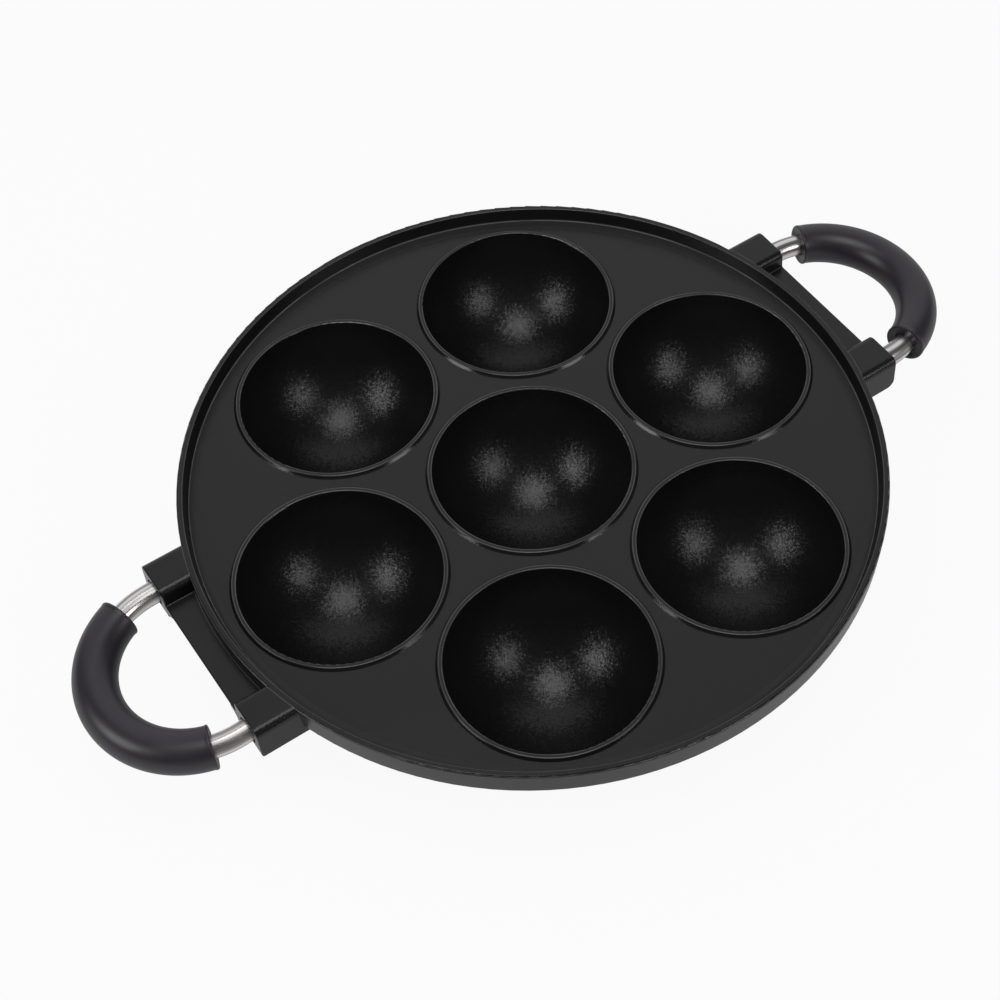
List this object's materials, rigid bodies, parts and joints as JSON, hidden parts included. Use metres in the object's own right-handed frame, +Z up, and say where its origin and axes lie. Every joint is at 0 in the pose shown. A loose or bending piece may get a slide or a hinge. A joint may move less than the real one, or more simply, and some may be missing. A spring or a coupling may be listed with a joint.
{
  "type": "takoyaki pan",
  "caption": "Round lidless stove-top takoyaki pan with hemispherical wells, a raised rim and two looped side handles with soft sleeves.",
  "frame": {"origin": "centre of the pan, on the plane of the flat feet under the wells", "axes": "+X along the two handles, +Z up out of the wells, +Y towards the rear row of wells"},
  "size_m": [0.3116, 0.2202, 0.0389],
  "materials": {
    "nonstick_casting": "satin black non-stick coat",
    "handle_steel": "brushed along the rod",
    "grip_rubber": "matte",
    "pin_steel": "plain spring steel"
  },
  "bodies": {
    "root": {"pan_body": "nonstick_casting", "handle_rod_left": "handle_steel", "handle_rod_right": "handle_steel", "grip_sleeve_left": "grip_rubber", "grip_sleeve_right": "grip_rubber", "rod_pin_left_front": "pin_steel", "rod_pin_left_rear": "pin_steel", "rod_pin_right_front": "pin_steel", "rod_pin_right_rear": "pin_steel"}
  },
  "joints": []
}
